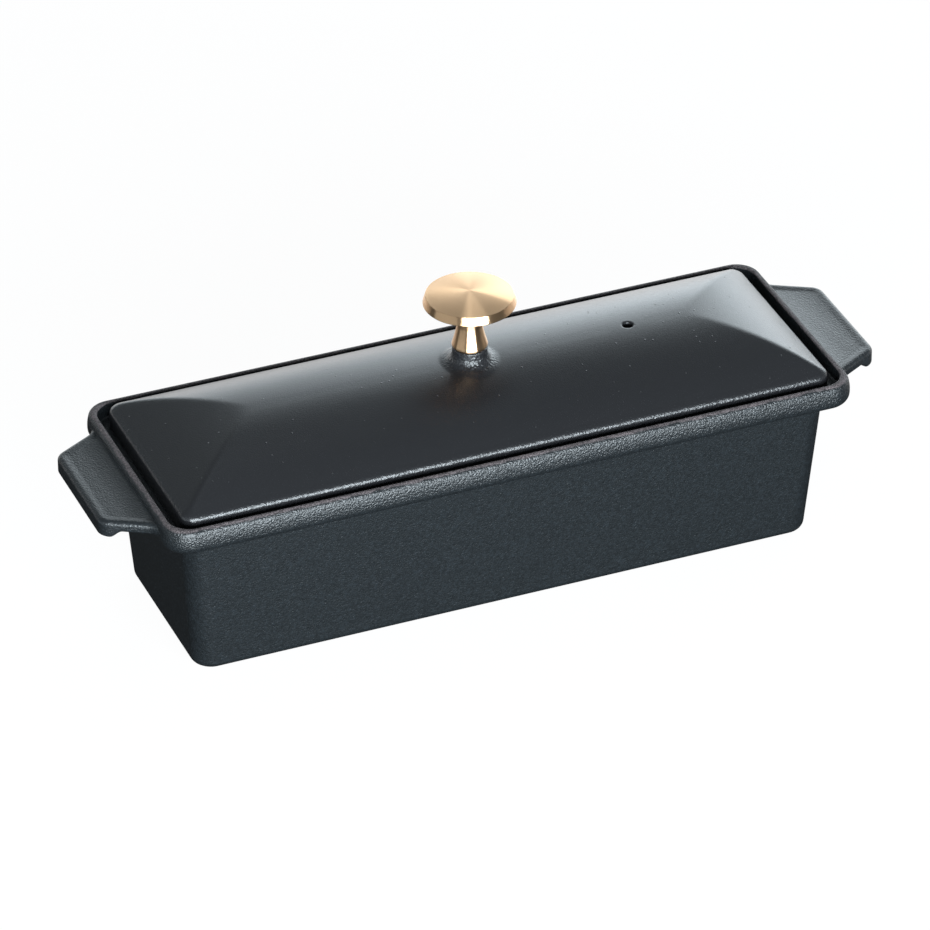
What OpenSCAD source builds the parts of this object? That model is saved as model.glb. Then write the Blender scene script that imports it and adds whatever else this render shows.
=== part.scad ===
// Cast-iron terrine dish: a long drafted trough with a rolled rim and two lug handles,
// a crowned hip lid that lies inside the rim, and a turned brass knob screwed on from below.
// Millimetres, +Z up. The origin is the centre of the base's underside, +X runs along the dish.

/* [Dish] */
// Length over the rim, without the handles
rim_length = 300; // [270:1:330]
// Width over the rim
rim_width = 108.3; // [100:0.1:120]
// Height from the base to the top of the rim
dish_height = 76.8; // [66:0.1:90]
// Thickness of the walls
wall = 4.5; // [3.5:0.1:6]
// Thickness of the floor
floor_thickness = 4.8; // [3.5:0.1:7]
// Lean of the walls, in degrees, that lets the casting leave its mould
draft = 4.2; // [2:0.1:6]
// Corner radius of the walls outside, seen from above
wall_corner = 9; // [7:0.1:12]
// Corner radius of the walls inside, seen from above
cavity_corner = 8.5; // [6:0.1:10]
// Radius between the base and the walls
base_fillet = 4; // [2:0.1:5]
// Radius between the floor and the walls, inside
floor_fillet = 8; // [5:0.1:8.4]

/* [Rim] */
// How far the rim stands out past the end walls
overhang_end = 9.5; // [8:0.1:11]
// How far the rim stands out past the side walls
overhang_side = 7.9; // [7:0.1:9.5]
// Height of the rim's band
rim_band = 11.3; // [10:0.1:13]
// Corner radius of the rim outside, seen from above
rim_corner = 11; // [9.5:0.1:14]
// Corner radius of the rim's opening, seen from above
opening_corner = 9.3; // [8:0.1:11]
// Radius along the rim's upper outer edge
rim_top_radius = 2.3; // [1:0.1:2.6]
// Radius along the rim's lower outer edge
rim_bottom_radius = 4.1; // [2:0.1:4.6]
// Radius under the rim, where it leaves the wall
rim_cove = 1.6; // [0.8:0.1:2.2]
// Width of the rim's top, from the outside to the opening
rim_land = 3.7; // [3.5:0.1:4.2]
// Radius along the opening's upper edge
opening_radius = 0.8; // [0.4:0.1:1]
// Depth from the rim's top to the ledge that carries the lid
ledge_depth = 6.8; // [5.5:0.1:7.5]
// Radius along the inner edge of that ledge
mouth_radius = 1.2; // [0.6:0.1:1.6]

/* [Lid] */
// Gap between the lid and the rim's opening at the ends
lid_gap_end = 4.9; // [4:0.1:5.5]
// Gap between the lid and the rim's opening along the sides
lid_gap_side = 3.7; // [3:0.1:4.2]
// Corner radius of the lid, seen from above
lid_corner = 6; // [5:0.1:10]
// Height of the ridge above the ledge
lid_rise = 23.2; // [21:0.1:28]
// Radius of the crown, a barrel vault on all four sides
crown_radius = 79; // [76:1:100]
// Radius along the lid's upper edge
lid_edge_radius = 3; // [1.5:0.1:3.5]
// Radius along the lid's lower edge
lid_foot_radius = 0.8; // [0.4:0.1:1.2]
// Radius along the four hips
hip_radius = 2; // [1:0.1:3]
// Thickness of the lid's shell
lid_wall = 5; // [4:0.1:6]
// Depth of the rib under the lid that keeps it centred in the mouth
rib_depth = 3; // [1.5:0.1:5]
// Thickness of that rib
rib_thickness = 3.6; // [2.5:0.1:4.5]
// Clearance between the rib and the mouth
rib_clearance = 1.2; // [0.6:0.1:1.8]
// Diameter of the steam vent
vent_diameter = 4.2; // [3:0.1:6]
// Distance from the middle of the lid to the vent
vent_distance = 70; // [40:0.5:80]
// Chamfer round the vent
vent_chamfer = 0.7; // [0.3:0.1:1]

/* [Boss] */
// Height of the boss above the ridge
boss_height = 6.8; // [5.5:0.1:9]
// Diameter of the boss at its top
boss_top = 14.6; // [13:0.1:16]
// Edge radius round the boss's top
boss_edge = 0.8; // [0.4:0.1:1.2]
// Radius between the boss and the crown
boss_fillet = 4.4; // [3:0.1:5]
// Diameter of the flat pad under the lid that the washer bears on
pad_diameter = 18; // [16.5:0.1:22]
// Depth of that pad below the inside of the ridge
pad_depth = 0.8; // [0.6:0.1:1.5]

/* [Knob] */
// Diameter of the head at its widest
head_diameter = 38.1; // [32:0.1:44]
// Diameter of the head's top face
head_face = 36; // [28:0.1:36.6]
// Height of the head's edge
head_edge = 3.3; // [2.4:0.1:4.5]
// Rise of the domed top face
head_dome = 2.2; // [1:0.1:3.5]
// Height of the knob
knob_height = 26.2; // [23:0.1:34]
// Diameter of the stem at its waist
waist_diameter = 10.4; // [9.8:0.1:12]
// Height of the waist above the foot
waist_height = 10; // [7:0.5:12]
// Diameter of the stem at its foot
foot_diameter = 14.8; // [13.6:0.1:17]
// Radius under the foot
foot_radius = 1.1; // [0.5:0.1:1.6]
// Radius between the stem and the head
neck_fillet = 3; // [1.5:0.1:4]

/* [Screw] */
// Diameter of the screw
screw_diameter = 6; // [5:0.5:6]
// Depth of the screw in the knob
screw_engagement = 12; // [8:0.5:15]
// Diameter of the screw's head
screw_head = 11.5; // [10:0.1:13]
// Height of the screw's head
screw_head_height = 3.6; // [2.8:0.1:4.4]
// Outer diameter of the washer
washer_diameter = 15; // [13.5:0.1:16]
// Thickness of the washer
washer_thickness = 1.2; // [0.8:0.1:2]
// Clearance all round the screw in the lid and in the washer
screw_clearance = 0.3; // [0.2:0.05:0.4]

/* [Handles] */
// How far each handle stands out past the rim
handle_reach = 20; // [18:0.1:24]
// Width of each handle at the rim
handle_root = 76; // [71:0.5:78]
// Width of each handle at its tip
handle_tip = 53.4; // [46:0.1:58]
// Radius of the two corners at the tip
handle_corner = 6.4; // [5.5:0.1:9]
// Radius in plan where a handle's side meets the rim
handle_flare = 6.8; // [4:0.1:8]
// Drop from the rim's top to the crest of the handle's border
handle_drop = 3.4; // [2.6:0.1:3.8]
// Radius of the bead that borders the handle
bead_radius = 2; // [1.6:0.1:2.1]
// Depth of the dished face below the bead's crest
face_depth = 1.3; // [0.9:0.1:1.6]
// Thickness of the plate under that face
plate_thickness = 2.5; // [2.2:0.1:3.2]
// Height of the handle's side, from the crest down
side_height = 4.6; // [4.3:0.1:5.2]
// Height of the lip that turns down along the tip, from the crest down
lip_height = 7.5; // [6.8:0.1:9]
// Thickness of that lip
lip_thickness = 4.3; // [4.2:0.1:5.5]
// Radius along the lip's lower outer edge
lip_edge = 1.2; // [0.8:0.1:2]
// Length along a handle's side over which the lip fades out, past the corner
lip_fade = 5.2; // [3:0.1:9]
// Radius between the lip and the plate, underneath
lip_cove = 2.6; // [1:0.1:3]
// Radius between the handle's face and the rim
root_cove = 3; // [1.5:0.1:3.2]

/* [Hidden] */

iron = [0.17, 0.18, 0.19];
enamel = [0.21, 0.22, 0.24];
brass = [0.80, 0.66, 0.46];
steel = [0.70, 0.71, 0.73];

// Segments in a quarter turn of a corner seen from above, and in a rounded edge
corner_steps = 8;
fade_steps = 4;
edge_steps = 5;
fine_steps = 3;
crown_steps = 14;
round_fn = 96;
// Length by which a cutting shape runs past the face that it cuts
overcut = 1;
// Depth at which a blend starts inside the surfaces that it joins
sunk = 0.35;
// Where the bead meets the handle's face, in bead radii from the border
bead_foot = 2.3;
// Radius on the inner lower edge of the handle's lip
lip_inner = 1.2;
// Share of the handle's side, below the plate, that the cove behind it takes up
side_cove = 0.4;
// Radius on the lower edges of the rib under the lid
rib_edge = 0.8;
// Thickness of the slices that the cove at the handle's root is blended from
slice = 0.02;
// Share of the screw head's height that its rounded edge takes up
screw_crown = 0.5;
// Width of the slot in the screw's head
slot_width = 1.6;
// Slack round the screw's thread, and length and cone of the drilled hole past the screw's end
thread_slack = 0.02;
bore_spare = 1.5;
drill_cone = 0.3;

// Heights, from the base up
z_under = dish_height - rim_band;
z_ledge = dish_height - ledge_depth;
z_ridge = z_ledge + lid_rise;
z_seat = z_ridge + boss_height;
z_inner_ridge = z_ridge - lid_wall;
z_pad = z_inner_ridge - pad_depth;
z_handle = dish_height - handle_drop;
z_face = z_handle - face_depth;
z_plate = z_face - plate_thickness;

// Outlines, each as [length, width, corner radius]
rim = [rim_length, rim_width, rim_corner];
wall_top = [rim_length - 2 * overhang_end, rim_width - 2 * overhang_side, wall_corner];
opening = [rim_length - 2 * rim_land, rim_width - 2 * rim_land, opening_corner];
lid_plan = [opening[0] - 2 * lid_gap_end, opening[1] - 2 * lid_gap_side, lid_corner];
mouth = cavity_at(z_ledge);
rib = inset(mouth, rib_clearance);
rib_inside = inset(rib, rib_thickness);

// The crown turns about an axis this high, above the lid's middle line
crown_z = z_ridge - crown_radius;
lid_half = lid_plan[1] / 2;
// Half the width of the flat strip that closes the ridge
ridge_half = 0.6;

// An outline moved inwards by d all round
function inset(o, d, least = 0.5) = [o[0] - 2 * d, o[1] - 2 * d, max(o[2] - d, least)];

// The walls' outline at height z, outside and inside, at an even thickness
function wall_at(z) = let (o = inset(wall_top, (z_under - z) * tan(draft)))
    [o[0], o[1], wall_corner];
function cavity_at(z) = let (o = inset(wall_top, wall / cos(draft) + (z_under - z) * tan(draft)))
    [o[0], o[1], cavity_corner];

// One ring of points: the outline o at height z, counter-clockwise seen from above
function ring(o, z) =
    let (r = min(o[2], o[0] / 2 - 0.05, o[1] / 2 - 0.05))
        [for (q = [0 : 3], i = [0 : corner_steps])
            let (
                sx = (q == 0 || q == 3) ? 1 : -1,
                sy = q < 2 ? 1 : -1,
                a = 90 * (q + i / corner_steps)
            ) [sx * (o[0] / 2 - r) + r * cos(a), sy * (o[1] / 2 - r) + r * sin(a), z]];

// Points of an arc about c, from angle a0 to a1
function arc(c, r, a0, a1, steps = edge_steps) =
    [for (i = [0 : steps]) let (a = a0 + (a1 - a0) * i / steps) c + r * [cos(a), sin(a)]];

// An edge of radius r between level ground and a wall that leans out by the draft
function leaning_edge(r) = arc([r * (1 / cos(draft) - tan(draft)), r], r, 180 + draft, 270);

function backwards(list) = [for (i = [len(list) - 1 : -1 : 0]) list[i]];

// Skins a stack of rings with equal counts of points, and closes both ends
module loft(rings) {
    n = len(rings[0]);
    last = len(rings) - 1;
    polyhedron(
        points = [for (r = rings) each r],
        faces = [
            [for (k = [0 : n - 1]) k],
            for (i = [0 : last - 1], k = [0 : n - 1])
                let (a = i * n + k, b = i * n + (k + 1) % n) each [[a, a + n, b + n], [a, b + n, b]],
            [for (k = [n - 1 : -1 : 0]) last * n + k]
        ],
        convexity = 8
    );
}

// The trough: up the outside, over the rim, down to the ledge, and down the cavity to the floor
function trough_rings() = concat(
    [for (p = backwards(leaning_edge(base_fillet))) ring(inset(wall_at(0), p[0]), p[1])],
    [for (p = arc([-rim_cove, z_under - rim_cove], rim_cove, 0, 90, fine_steps))
        ring(inset(wall_at(z_under - rim_cove), p[0]), p[1])],
    [for (p = arc([rim_bottom_radius, z_under + rim_bottom_radius], rim_bottom_radius, 270, 180))
        ring(inset(rim, p[0]), p[1])],
    [for (p = arc([rim_top_radius, dish_height - rim_top_radius], rim_top_radius, 180, 90))
        ring(inset(rim, p[0]), p[1])],
    [for (p = arc([-opening_radius, dish_height - opening_radius], opening_radius, 90, 0, fine_steps))
        ring(inset(opening, p[0]), p[1])],
    [ring(opening, z_ledge)],
    [for (p = arc([-mouth_radius, z_ledge - mouth_radius], mouth_radius, 90, 0, fine_steps))
        ring(inset(mouth, p[0]), p[1])],
    [for (p = leaning_edge(floor_fillet))
        ring(inset(cavity_at(floor_thickness), p[0]), floor_thickness + p[1])]
);

// The handle in plan, at the dish's right end. Its side runs from the rim to the tip.
rim_face = rim_length / 2;
tip_x = rim_face + handle_reach;
side_lean = atan2((handle_root - handle_tip) / 2, handle_reach);
side_normal = [sin(side_lean), cos(side_lean)];
side_distance = side_normal * [tip_x, handle_tip / 2];
// The handle's back end is buried in the rim
buried_x = rim_face - rim_land / 2;
flare_x = rim_face - sunk + handle_flare;
flare_centre = [flare_x, (side_distance + handle_flare - side_normal[0] * flare_x) / side_normal[1]];

// Centre of the tip's corner for an outline that keeps s from the tip and from the side
function corner_centre(s) = let (x = tip_x - s)
    [x, (side_distance - s - side_normal[0] * x) / side_normal[1]];

// Half of the handle's outline moved inwards by d, from inside the rim to the tip
function half_outline(d) = let (
        s = max(handle_corner, d + 0.4),
        start = acos(min(1, (flare_x - buried_x - sunk) / (handle_flare + d))),
        flare = arc(flare_centre, handle_flare + d, 180 + start, 270 - side_lean),
        turn = arc(corner_centre(s), s - d, 90 - side_lean, 0, corner_steps)
    ) concat(
        [[buried_x, flare[0][1]]],
        flare,
        [for (i = [fade_steps : -1 : 1])
            turn[0] + [-side_normal[1], side_normal[0]] * lip_fade * i / fade_steps],
        turn
    );

// How far the lip has turned down at each point of that half: none along most of the side, and
// all of it round the corner and along the tip
lip_turn = [
    for (i = [0 : edge_steps + 1]) 0,
    for (i = [0 : fade_steps - 1]) 0.5 - 0.5 * cos(180 * i / fade_steps),
    for (i = [0 : corner_steps]) 1
];

// The section of the handle's edge at one place, as [inset, height]: from inside the plate over
// the bead, down the outside, round the lip and its cove, and back into the plate. drop is the
// height of the edge from the crest down, and cove the radius behind it.
function edge_section(drop, cove) = let (
        bottom = z_handle - drop,
        inner = min(cove, lip_inner),
        foot = bead_foot * bead_radius
    ) concat(
        [[foot + sunk, z_face - sunk], [foot, z_face]],
        arc([bead_radius, z_handle - bead_radius], bead_radius, 30, 180, 2 * edge_steps),
        arc([lip_edge, bottom + lip_edge], lip_edge, 180, 270),
        arc([lip_thickness - inner, bottom + inner], inner, -90, 0, fine_steps),
        arc([lip_thickness + cove, z_plate - cove], cove, 180, 90, fine_steps),
        [[lip_thickness + cove + sunk, z_plate + sunk]]
    );

// The edge sweeps along the side, round the corner and along the tip, and its lip turns down just
// before the corner. Each place on the outline is a ring through all the points of the section there.
module handle_edge() {
    side = edge_section(side_height, (z_plate - z_handle + side_height) * side_cove);
    lip = edge_section(lip_height, lip_cove);
    half = [for (k = [0 : len(lip_turn) - 1])
        [for (i = [0 : len(side) - 1])
            let (p = side[i] + (lip[i] - side[i]) * lip_turn[k], xy = half_outline(p[0])[k])
                [xy[0], xy[1], p[1]]]];
    loft(concat(
        [for (station = half) [for (p = station) [p[0], -p[1], p[2]]]],
        backwards(half)
    ));
}

// The thin plate inside that edge
module handle_plate() {
    half = half_outline(bead_radius + sunk);
    translate([0, 0, z_plate])
        linear_extrude(height = plate_thickness)
            polygon(concat([for (p = half) [p[0], -p[1]]], backwards(half)));
}

module handle() {
    handle_plate();
    handle_edge();
    root_fillet();
}

// One wedge of a slice through the cove between the handle's face and the rim: at y, with
// radius r, from a point inside the rim to step k of the hollow arc
module cove_wedge(y, r, k) {
    hollow = arc([rim_face + r - sunk / 2, z_face + r - sunk / 2], r, 180, 270);
    translate([0, y, 0]) rotate([90, 0, 0]) linear_extrude(height = slice)
        polygon([[buried_x, z_face - plate_thickness / 3], hollow[k + 1], hollow[k]]);
}

// That cove runs the handle's whole width and fades out past the bead at either side. Its slices
// are blended wedge by wedge, so that the hollow stays hollow.
module root_fillet() {
    reach = handle_root / 2 + handle_flare / 3;
    places = [-1, -0.9, -0.8, 0.8, 0.9, 1];
    sizes = [0.1, 0.45, 1, 1, 0.45, 0.1];
    for (i = [0 : len(places) - 2], k = [0 : edge_steps - 1])
        hull() {
            cove_wedge(reach * places[i], root_cove * sizes[i], k);
            cove_wedge(reach * places[i + 1], root_cove * sizes[i + 1], k);
        }
}

module dish() {
    color(iron) union() {
        loft(trough_rings());
        handle();
        mirror([1, 0, 0]) handle();
    }
}

// The lid's edge and crown as [inset, height], from the side up to the ridge
function crown_profile() = let (
        r = lid_edge_radius,
        edge_z = crown_z + sqrt(pow(crown_radius - r, 2) - pow(lid_half - r, 2)),
        meet = atan2(edge_z - crown_z, r - lid_half),
        end = 90 + asin(ridge_half / crown_radius)
    ) concat(
        arc([r, edge_z], r, 180, meet),
        arc([lid_half, crown_z], crown_radius, meet, end, crown_steps)
    );

// The inside of the crown, from the ridge down to the rib's inner face
function hollow_profile() = let (
        r = crown_radius - lid_wall,
        w = rib_inside[1] / 2 - 1
    ) arc([lid_half, crown_z], r, 90 + asin(ridge_half / r), 90 + asin(w / r), crown_steps - 4);

function lid_rings() = concat(
    [for (p = hollow_profile()) ring(inset(lid_plan, p[0], hip_radius), p[1])],
    [ring(rib_inside, z_ledge + lid_wall)],
    [for (p = arc([-rib_edge, z_ledge - rib_depth + rib_edge], rib_edge, 0, -90, fine_steps))
        ring(inset(rib_inside, p[0]), p[1])],
    [for (p = arc([rib_edge, z_ledge - rib_depth + rib_edge], rib_edge, 270, 180, fine_steps))
        ring(inset(rib, p[0]), p[1])],
    [ring(rib, z_ledge)],
    [for (p = arc([lid_foot_radius, z_ledge + lid_foot_radius], lid_foot_radius, 270, 180, fine_steps))
        ring(inset(lid_plan, p[0]), p[1])],
    [for (p = crown_profile()) ring(inset(lid_plan, p[0], hip_radius), p[1])]
);

// The boss that the knob stands on: a short neck that flares into the crown
module boss() {
    neck = boss_top / 2;
    foot_z = z_ridge - 0.5;
    centre = [neck + boss_fillet, foot_z + boss_fillet];
    rotate_extrude($fn = round_fn)
        polygon(concat(
            [[0, z_ridge - lid_wall / 2], [centre[0], z_ridge - lid_wall / 2]],
            arc(centre, boss_fillet, 270, 180, 2 * edge_steps),
            arc([neck - boss_edge, z_seat - boss_edge], boss_edge, 0, 90),
            [[0, z_seat]]
        ));
}

module lid() {
    hole = screw_diameter + 2 * screw_clearance;
    color(enamel) difference() {
        union() {
            loft(lid_rings());
            boss();
            translate([0, 0, z_pad])
                cylinder(d = pad_diameter, h = pad_depth + lid_wall / 2, $fn = round_fn);
        }
        translate([0, 0, z_pad - overcut])
            cylinder(d = hole, h = z_seat - z_pad + 2 * overcut, $fn = round_fn);
        translate([vent_distance, 0, z_inner_ridge - overcut])
            cylinder(d = vent_diameter, h = lid_wall + 2 * overcut, $fn = round_fn);
        translate([vent_distance, 0, z_ridge - vent_chamfer])
            cylinder(
                d1 = vent_diameter,
                d2 = vent_diameter + 2 * (vent_chamfer + overcut),
                h = vent_chamfer + overcut,
                $fn = round_fn
            );
    }
}

// The knob's outline from the foot up to the middle of its domed face, as [radius, height]
function knob_profile() = let (
        foot = foot_diameter / 2,
        waist = waist_diameter / 2,
        step = foot - waist,
        swell = waist_height - foot_radius,
        taper = (swell * swell + step * step) / (2 * step),
        spread = asin(swell / taper),
        edge_top = z_seat + knob_height - head_dome,
        edge_bottom = edge_top - head_edge,
        face = head_face / 2,
        widest = head_diameter / 2,
        dome = (face * face + head_dome * head_dome) / (2 * head_dome)
    ) concat(
        arc([foot - foot_radius, z_seat + foot_radius], foot_radius, 270, 360),
        backwards(arc([waist + taper, z_seat + waist_height], taper, 180, 180 + spread, 2 * edge_steps)),
        arc([waist + neck_fillet, edge_bottom - 1 - neck_fillet], neck_fillet, 180, 90),
        [[widest - 0.8, edge_bottom - 0.7], [widest - 0.15, edge_bottom - 0.35], [widest, edge_bottom]],
        arc([0, z_seat + knob_height - dome], dome, 90 - asin(face / dome), 90, crown_steps)
    );

module knob() {
    tapping = screw_diameter + 2 * thread_slack;
    depth = screw_engagement + bore_spare;
    color(brass) difference() {
        rotate_extrude($fn = round_fn)
            polygon(concat([[0, z_seat]], knob_profile()));
        translate([0, 0, z_seat - overcut])
            cylinder(d = tapping, h = depth + overcut, $fn = round_fn);
        translate([0, 0, z_seat + depth])
            cylinder(d1 = tapping, d2 = 0, h = tapping * drill_cone, $fn = round_fn);
    }
}

// A slotted pan-head screw that draws the knob down on its boss from inside the lid
module knob_screw() {
    head_top = z_pad - washer_thickness;
    head_bottom = head_top - screw_head_height;
    crown = screw_head_height * screw_crown;
    color(steel) difference() {
        union() {
            translate([0, 0, head_top - crown])
                cylinder(
                    d = screw_diameter,
                    h = z_seat + screw_engagement - head_top + crown,
                    $fn = round_fn
                );
            rotate_extrude($fn = round_fn)
                polygon(concat(
                    [[0, head_bottom]],
                    arc([screw_head / 2 - crown, head_bottom + crown], crown, 270, 360),
                    [[screw_head / 2, head_top], [0, head_top]]
                ));
        }
        translate([-screw_head, -slot_width / 2, head_bottom - overcut])
            cube([2 * screw_head, slot_width, crown + overcut]);
    }
}

module knob_washer() {
    color(steel) translate([0, 0, z_pad - washer_thickness])
        difference() {
            cylinder(d = washer_diameter, h = washer_thickness, $fn = round_fn);
            translate([0, 0, -overcut])
                cylinder(
                    d = screw_diameter + 2 * screw_clearance,
                    h = washer_thickness + 2 * overcut,
                    $fn = round_fn
                );
        }
}

dish();
lid();
knob();
knob_screw();
knob_washer();
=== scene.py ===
# %% [markdown]
# A cast-iron terrine dish: a long trough with a rolled rim and two lug handles, a crowned lid
# that lies inside the rim, and a turned brass knob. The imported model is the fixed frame: it
# says where every piece is. The castings are modelled again here, finer, because light on satin
# enamel shows every facet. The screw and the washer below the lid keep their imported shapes.

# %% Load the fixed frame
import math

import bpy
import bmesh
import numpy as np
from mathutils import Matrix
from mathutils.geometry import delaunay_2d_cdt


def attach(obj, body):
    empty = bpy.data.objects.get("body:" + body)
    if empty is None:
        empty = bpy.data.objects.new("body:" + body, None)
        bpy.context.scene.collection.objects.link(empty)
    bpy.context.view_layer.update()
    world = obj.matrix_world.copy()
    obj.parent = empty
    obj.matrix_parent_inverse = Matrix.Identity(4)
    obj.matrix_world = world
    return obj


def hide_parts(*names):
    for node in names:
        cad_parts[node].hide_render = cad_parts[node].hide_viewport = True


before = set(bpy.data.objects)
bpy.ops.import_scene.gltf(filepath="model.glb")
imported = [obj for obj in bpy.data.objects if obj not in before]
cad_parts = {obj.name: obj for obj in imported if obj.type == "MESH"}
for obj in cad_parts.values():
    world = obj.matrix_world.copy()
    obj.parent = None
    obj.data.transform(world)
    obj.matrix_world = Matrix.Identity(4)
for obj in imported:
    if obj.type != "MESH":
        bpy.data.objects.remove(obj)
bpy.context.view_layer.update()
MM = 0.001

# %% [markdown]
# The photograph was taken with a long lens from the left of the front, about 33 degrees above
# the table. A long lens far away keeps the sides of the dish almost parallel. A camera could be
# made to track a target, but three measured angles give its axes exactly, with no shift, and
# the lamps are aimed by the same function later.

# %% The camera
AZIMUTH = -22.076
ELEVATION = 32.856
ROLL = -0.309
CAMERA_FROM_BASE = (-0.83961, -2.06439, 1.48132)
SENSOR = 36.0
LENS = 249.6
CLIP_END = 50.0


def facing_axes(azimuth, elevation, roll=0.0):
    """Right, up and back of something that looks at the dish, as the columns of a matrix, from
    its angles in degrees: round from the front, up from the table, and about its own view."""
    azimuth, elevation, roll = (math.radians(angle) for angle in (azimuth, elevation, roll))
    back = np.array([
        math.sin(azimuth) * math.cos(elevation),
        -math.cos(azimuth) * math.cos(elevation),
        math.sin(elevation),
    ])
    right = np.array([math.cos(azimuth), math.sin(azimuth), 0.0])
    up = np.cross(back, right)
    turned_right = math.cos(roll) * right + math.sin(roll) * up
    turned_up = -math.sin(roll) * right + math.cos(roll) * up
    return np.column_stack([turned_right, turned_up, back])


def put(thing, axes, place):
    """Turns an object to its axes and moves it to its place."""
    thing.matrix_world = Matrix.Translation(place) @ Matrix(axes.tolist()).to_4x4()


camera_data = bpy.data.cameras.new("photo_camera")
camera_data.sensor_width = SENSOR
camera_data.lens = LENS
camera_data.clip_end = CLIP_END
camera = bpy.data.objects.new("photo_camera", camera_data)
bpy.context.scene.collection.objects.link(camera)
put(camera, facing_axes(AZIMUTH, ELEVATION, ROLL), CAMERA_FROM_BASE)
bpy.context.scene.camera = camera
bpy.context.scene.view_settings.view_transform = "Standard"
print("camera", [round(v, 3) for v in camera.location], "lens", LENS)

# %% [markdown]
# Every outline of a casting is a rounded rectangle, given by its length, width and corner
# radius in millimetres. Blocks could be joined and bevelled, but bevels break where roundings
# of many sizes meet. Here a shape is skinned from rings of points that all have the same count,
# so each band between two rings is a strip of four-sided faces.

# %% Helpers that draw arcs and rings, and skin them
LEAST_STRAIGHT = 0.05


def arc(centre, radius, start, end, steps):
    """Points of an arc, with its angles in degrees."""
    turns = np.radians(np.linspace(start, end, steps + 1))
    return [(centre[0] + radius * math.cos(t), centre[1] + radius * math.sin(t)) for t in turns]


def inset(outline, d, least=0.5):
    """A rounded rectangle moved inwards by d all round."""
    return (outline[0] - 2 * d, outline[1] - 2 * d, max(outline[2] - d, least))


def ring(outline, z, steps=16, runs=(1, 1)):
    """Points of a rounded rectangle at height z, counter-clockwise seen from above. runs cuts
    its straight sides, along and across, into as many lengths."""
    length, width, radius = outline
    radius = min(radius, length / 2 - LEAST_STRAIGHT, width / 2 - LEAST_STRAIGHT)
    x, y = length / 2 - radius, width / 2 - radius
    centres = ((x, y), (-x, y), (-x, -y), (x, -y))
    points = []
    for quarter, centre in enumerate(centres):
        corner = arc(centre, radius, 90 * quarter, 90 * quarter + 90, steps)
        points.extend(corner)
        count = runs[quarter % 2]
        after = centres[(quarter + 1) % 4]
        towards = (after[0] - centre[0], after[1] - centre[1])
        points.extend(
            (corner[-1][0] + towards[0] * i / count, corner[-1][1] + towards[1] * i / count)
            for i in range(1, count)
        )
    return [(px, py, z) for px, py in points]


def skin(rings):
    """Points and faces of a closed skin over rings with equal counts."""
    n = len(rings[0])
    points = [p for r in rings for p in r]
    faces = []
    for i in range(len(rings) - 1):
        for k in range(n):
            a, b = i * n + k, i * n + (k + 1) % n
            faces.append((a, b, b + n, a + n))
    faces.append(tuple(range(n - 1, -1, -1)))
    faces.append(tuple((len(rings) - 1) * n + k for k in range(n)))
    return points, faces


# %% [markdown]
# Whatever makes a mesh, it is finished the same way: points that lie on each other are merged,
# the faces are turned outwards, and the shading is smooth apart from real edges. An edge with
# only one face would be a hole in the casting, so the open edges are counted.

# %% Helpers that make and finish a piece
def mesh_object(name, points, faces):
    """A new object in metres from points in millimetres."""
    mesh = bpy.data.meshes.new(name)
    mesh.from_pydata([[c * MM for c in p] for p in points], [], faces)
    mesh.validate()
    piece = bpy.data.objects.new(name, mesh)
    bpy.context.scene.collection.objects.link(piece)
    return piece


def clean(piece, merge=0.002, sharp=38.0):
    """Merges doubles, turns faces outwards and shades smooth, with sharp edges kept."""
    shape = bmesh.new()
    shape.from_mesh(piece.data)
    bmesh.ops.remove_doubles(shape, verts=shape.verts, dist=merge * MM)
    bmesh.ops.dissolve_degenerate(shape, edges=shape.edges, dist=merge * MM)
    bmesh.ops.recalc_face_normals(shape, faces=shape.faces)
    shape.to_mesh(piece.data)
    open_edges = sum(1 for e in shape.edges if len(e.link_faces) != 2)
    shape.free()
    piece.data.polygons.foreach_set("use_smooth", [True] * len(piece.data.polygons))
    piece.data.set_sharp_from_angle(angle=math.radians(sharp))
    print(piece.name, len(piece.data.polygons), "faces,", open_edges, "open edges")


def apply_modifiers(piece):
    """Swaps the piece's mesh for the result of its modifiers."""
    depsgraph = bpy.context.evaluated_depsgraph_get()
    result = bpy.data.meshes.new_from_object(piece.evaluated_get(depsgraph))
    piece.modifiers.clear()
    piece.data = result


# %% [markdown]
# The trough is poured in one piece, with a rolled rim that stiffens it, and a ledge inside the
# rim that carries the lid. The walls lean out by the draft that lets a casting leave its sand
# mould. A hollow box with a bevel could stand in for it, but the real one has a different
# rounding at every edge, and the rim's long highlight follows them.

# %% Sizes of the trough
RIM = (300.0, 108.3, 11.0)
RIM_TOP = 76.8
RIM_BAND = 11.3
RIM_TOP_RADIUS = 2.3
RIM_BOTTOM_RADIUS = 4.1
FACE_ABOVE = 15.0
FACE_BELOW = 4.0
RIM_COVE = 1.6
RIM_LAND = 3.7
OPENING_CORNER = 9.3
OPENING_RADIUS = 0.8
OVERHANG_END = 9.5
OVERHANG_SIDE = 7.9
WALL = 4.5
FLOOR = 4.8
DRAFT = math.radians(4.2)
WALL_CORNER = 9.0
CAVITY_CORNER = 8.5
BASE_FILLET = 4.0
FLOOR_FILLET = 8.0
LEDGE = 70.0
LEDGE_CHAMFER = 0.6
MOUTH_RADIUS = 1.2

RIM_UNDERSIDE = RIM_TOP - RIM_BAND
WALL_TOP = (RIM[0] - 2 * OVERHANG_END, RIM[1] - 2 * OVERHANG_SIDE, WALL_CORNER)
OPENING = (RIM[0] - 2 * RIM_LAND, RIM[1] - 2 * RIM_LAND, OPENING_CORNER)
print("rim", RIM, "wall below it", WALL_TOP, "opening", OPENING)

# %% [markdown]
# One stack of rings climbs the outside, rolls over the rim, steps down to the ledge, and runs
# down the cavity to the floor. Each rounding is an arc of (inset, height), so a ring is an
# outline moved inwards by the first number and lifted by the second. The photograph's highlight
# shows that the rim's face isn't flat: it bows a little, and leans back near the top.

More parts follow.
